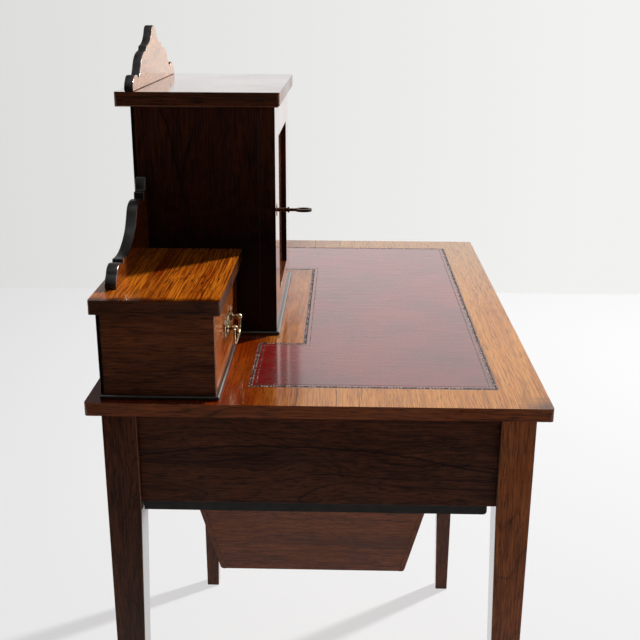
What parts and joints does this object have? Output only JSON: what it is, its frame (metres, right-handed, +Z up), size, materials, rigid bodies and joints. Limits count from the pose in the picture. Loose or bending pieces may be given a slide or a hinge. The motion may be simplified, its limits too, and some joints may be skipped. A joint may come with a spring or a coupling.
{
  "type": "writing desk",
  "caption": "Lady's writing desk with leather top, raised cupboard between small drawer boxes, frieze drawer and a tapered sliding well on square tapering legs.",
  "frame": {"origin": "on the floor under the middle of the desktop", "axes": "+X to the right of a person seated at the desk, front faces -Y, +Z up"},
  "size_m": [0.81, 0.542, 1.158],
  "materials": {
    "rosewood": "french polished",
    "figured_rosewood": "french polished",
    "ebonised_wood": "satin",
    "drawer_lining": "bare planed",
    "red_leather": "polished, tooled border",
    "cast_brass": "aged",
    "key_iron": "browned"
  },
  "bodies": {
    "desk": {"desktop": "figured_rosewood", "leather": "red_leather", "leg_front_left": "rosewood", "leg_front_right": "rosewood", "leg_back_left": "rosewood", "leg_back_right": "rosewood", "side_rail_left": "rosewood", "side_rail_right": "rosewood", "back_rail": "rosewood", "front_top_rail": "rosewood", "front_bottom_rail": "rosewood", "runners": "ebonised_wood", "base_boards": "rosewood", "cupboard_side_left": "rosewood", "cupboard_side_right": "rosewood", "back_boards": "drawer_lining", "cupboard_shelf": "rosewood", "cornice": "figured_rosewood", "top_gallery": "rosewood", "base_bead": "ebonised_wood", "hinge_fixed_leaves": "cast_brass", "box_end_left": "rosewood", "box_end_right": "rosewood", "lid_left": "figured_rosewood", "lid_right": "figured_rosewood", "gallery_left": "rosewood", "gallery_right": "rosewood"},
    "frieze_drawer": {"frieze_drawer_front": "figured_rosewood", "frieze_drawer_sides": "drawer_lining", "frieze_drawer_bottom": "drawer_lining", "frieze_plates": "cast_brass", "frieze_posts": "cast_brass"},
    "frieze_bail_left": {"frieze_bail_left": "cast_brass"},
    "frieze_bail_right": {"frieze_bail_right": "cast_brass"},
    "well": {"slide_frame": "drawer_lining", "slide_front": "rosewood", "well_front": "rosewood", "well_back_board": "rosewood", "well_sides": "rosewood", "well_bottom": "drawer_lining"},
    "small_drawer_left": {"drawer_front_left": "figured_rosewood", "drawer_sides_left": "drawer_lining", "drawer_bottom_left": "drawer_lining", "plate_left": "cast_brass", "posts_left": "cast_brass"},
    "small_bail_left": {"bail_left": "cast_brass"},
    "small_drawer_right": {"drawer_front_right": "figured_rosewood", "drawer_sides_right": "drawer_lining", "drawer_bottom_right": "drawer_lining", "plate_right": "cast_brass", "posts_right": "cast_brass"},
    "small_bail_right": {"bail_right": "cast_brass"},
    "door": {"door_stiles": "rosewood", "door_rails": "rosewood", "door_panel": "figured_rosewood", "hinge_door_leaves": "cast_brass", "escutcheon": "cast_brass", "lock_case": "cast_brass"},
    "lock_bolt": {"lock_bolt": "cast_brass"},
    "key": {"key": "key_iron"}
  },
  "joints": [
    {"name": "frieze_drawer_slide", "type": "slide", "parent": "desk", "child": "frieze_drawer", "axis": [0, -1, 0], "range_m": [0, 0.34]},
    {"name": "well_slide", "type": "slide", "parent": "desk", "child": "well", "axis": [0, -1, 0], "range_m": [0, 0.3]},
    {"name": "small_drawer_left_slide", "type": "slide", "parent": "desk", "child": "small_drawer_left", "axis": [0, -1, 0], "range_m": [0, 0.095]},
    {"name": "small_drawer_right_slide", "type": "slide", "parent": "desk", "child": "small_drawer_right", "axis": [0, -1, 0], "range_m": [0, 0.095]},
    {"name": "door_hinge", "type": "hinge", "parent": "desk", "child": "door", "pos_m": [0.154, 0.0852, 0.909], "axis": [0, 0, -1], "range_deg": [-150, 0]},
    {"name": "key_turn", "type": "hinge", "parent": "door", "child": "key", "pos_m": [-0.128, 0.06, 0.921], "axis": [0, -1, 0], "range_deg": [0, 180]},
    {"name": "bolt_slide", "type": "slide", "parent": "door", "child": "lock_bolt", "axis": [-1, 0, 0], "range_m": [0, 0.007]},
    {"name": "frieze_bail_left_swing", "type": "hinge", "parent": "frieze_drawer", "child": "frieze_bail_left", "pos_m": [-0.205, -0.2655, 0.677], "axis": [-1, 0, 0], "range_deg": [-20, 90]},
    {"name": "frieze_bail_right_swing", "type": "hinge", "parent": "frieze_drawer", "child": "frieze_bail_right", "pos_m": [0.205, -0.2655, 0.677], "axis": [-1, 0, 0], "range_deg": [-20, 90]},
    {"name": "small_bail_left_swing", "type": "hinge", "parent": "small_drawer_left", "child": "small_bail_left", "pos_m": [-0.2681, 0.1065, 0.805], "axis": [-1, 0, 0], "range_deg": [-20, 90]},
    {"name": "small_bail_right_swing", "type": "hinge", "parent": "small_drawer_right", "child": "small_bail_right", "pos_m": [0.2681, 0.1065, 0.805], "axis": [-1, 0, 0], "range_deg": [-20, 90]}
  ],
  "couplings": [
    {"joint": "bolt_slide", "follows": "key_turn", "m_per_rad": 0.002228}
  ]
}
